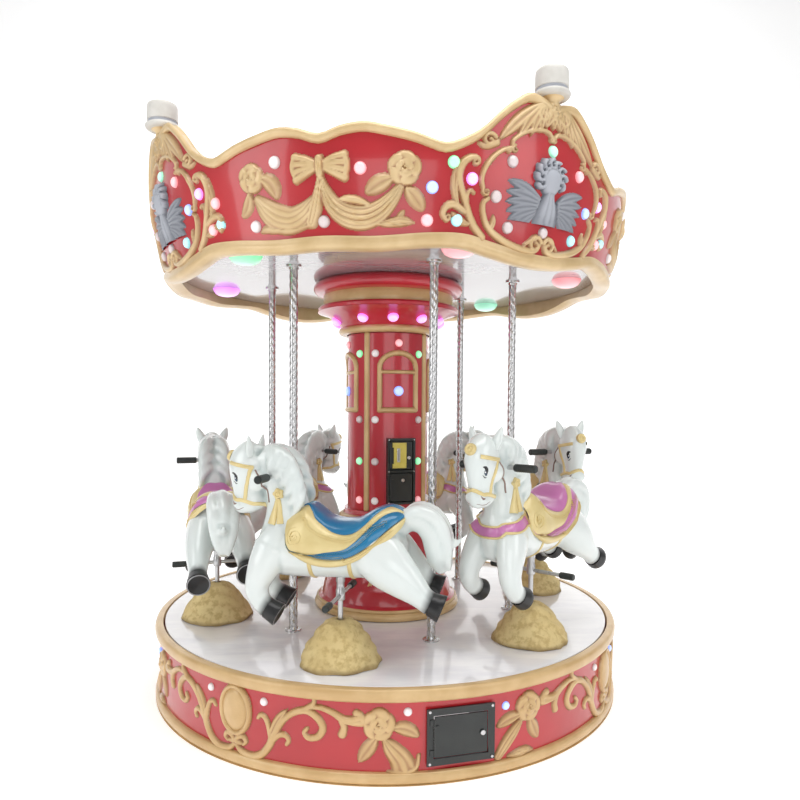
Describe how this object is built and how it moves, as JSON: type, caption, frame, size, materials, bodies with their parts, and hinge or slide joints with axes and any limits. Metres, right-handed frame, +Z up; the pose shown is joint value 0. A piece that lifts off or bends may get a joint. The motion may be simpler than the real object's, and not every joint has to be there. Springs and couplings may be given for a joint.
{
  "type": "fairground carousel",
  "caption": "Children's carousel with galloping horses on rods, a turning platform, a central column and a flared canopy with a waved edge.",
  "frame": {"origin": "on the floor, at the centre of the round base, on the axis that the platform turns about", "axes": "+Z up along the axis; -Y towards the viewer; the front horse faces -X at rest"},
  "size_m": [2.2386, 2.2386, 2.5373],
  "materials": {
    "skirt_red": "glossy red lacquer over fibreglass",
    "rim_gold": "satin gold paint over fibreglass",
    "frame_steel": "grey primer on steel",
    "door_black": "satin black powder coat",
    "deck_white": "white enamel",
    "column_red": "glossy red lacquer over fibreglass",
    "coin_black": "satin black powder coat",
    "ceiling_white": "glossy white",
    "valance_red": "glossy red lacquer over fibreglass",
    "valance_gold": "satin gold paint over fibreglass",
    "finial_white": "white with gold bands",
    "pole_steel": "polished, twisted",
    "rock_ochre": "mottled ochre paint",
    "horse_white": "white enamel with mint shading",
    "rod_steel": "polished",
    "saddle_blue": "glossy blue with gold edges",
    "saddle_pink": "glossy pink with gold edges"
  },
  "bodies": {
    "base": {"base_skirt": "skirt_red", "base_top_rim": "rim_gold", "base_bottom_rim": "rim_gold", "base_frame": "frame_steel", "base_door_frame": "door_black"},
    "base_door": {"base_door": "door_black"},
    "turntable": {"platform_deck": "deck_white", "column_plinth": "column_red", "column_shaft": "column_red", "column_capital": "column_red", "coin_panel": "coin_black", "canopy_ceiling": "ceiling_white", "canopy_valance": "valance_red", "canopy_top_rim": "valance_gold", "canopy_bottom_rim": "valance_gold", "finial_1": "finial_white", "finial_2": "finial_white", "finial_3": "finial_white", "finial_4": "finial_white", "pole_1": "pole_steel", "pole_2": "pole_steel", "pole_3": "pole_steel", "pole_4": "pole_steel", "pole_5": "pole_steel", "pole_6": "pole_steel", "rock_1": "rock_ochre", "rock_2": "rock_ochre", "rock_3": "rock_ochre", "rock_4": "rock_ochre", "rock_5": "rock_ochre", "rock_6": "rock_ochre"},
    "coin_door": {"coin_door": "coin_black"},
    "cash_box_door": {"cash_box_door": "coin_black"},
    "horse_1": {"horse_1_figure": "horse_white", "horse_1_saddle": "saddle_blue", "horse_1_rod": "rod_steel"},
    "horse_2": {"horse_2_figure": "horse_white", "horse_2_saddle": "saddle_pink", "horse_2_rod": "rod_steel"},
    "horse_3": {"horse_3_figure": "horse_white", "horse_3_saddle": "saddle_blue", "horse_3_rod": "rod_steel"},
    "horse_4": {"horse_4_figure": "horse_white", "horse_4_saddle": "saddle_pink", "horse_4_rod": "rod_steel"},
    "horse_5": {"horse_5_figure": "horse_white", "horse_5_saddle": "saddle_pink", "horse_5_rod": "rod_steel"},
    "horse_6": {"horse_6_figure": "horse_white", "horse_6_saddle": "saddle_pink", "horse_6_rod": "rod_steel"}
  },
  "joints": [
    {"name": "turntable_spin", "type": "hinge", "parent": "base", "child": "turntable", "pos_m": [0, 0, 0], "axis": [0, 0, 1], "continuous": true},
    {"name": "base_door_hinge", "type": "hinge", "parent": "base", "child": "base_door", "pos_m": [0.1704, -1.0831, 0.163], "axis": [0, 0, -1], "range_deg": [0, 110]},
    {"name": "coin_door_hinge", "type": "hinge", "parent": "turntable", "child": "coin_door", "pos_m": [0.0153, -0.2179, 1.0858], "axis": [0, 0, -1], "range_deg": [0, 100]},
    {"name": "cash_box_door_hinge", "type": "hinge", "parent": "turntable", "child": "cash_box_door", "pos_m": [0.0153, -0.2179, 0.9343], "axis": [0, 0, -1], "range_deg": [0, 100]},
    {"name": "horse_1_lift", "type": "slide", "parent": "turntable", "child": "horse_1", "axis": [0, 0, 1], "range_m": [-0.04, 0.05]},
    {"name": "horse_2_lift", "type": "slide", "parent": "turntable", "child": "horse_2", "axis": [0, 0, 1], "range_m": [-0.08, 0.01]},
    {"name": "horse_3_lift", "type": "slide", "parent": "turntable", "child": "horse_3", "axis": [0, 0, 1], "range_m": [-0.09, 0]},
    {"name": "horse_4_lift", "type": "slide", "parent": "turntable", "child": "horse_4", "axis": [0, 0, 1], "range_m": [-0.04, 0.05]},
    {"name": "horse_5_lift", "type": "slide", "parent": "turntable", "child": "horse_5", "axis": [0, 0, 1], "range_m": [-0.04, 0.05]},
    {"name": "horse_6_lift", "type": "slide", "parent": "turntable", "child": "horse_6", "axis": [0, 0, 1], "range_m": [-0.04, 0.05]}
  ]
}
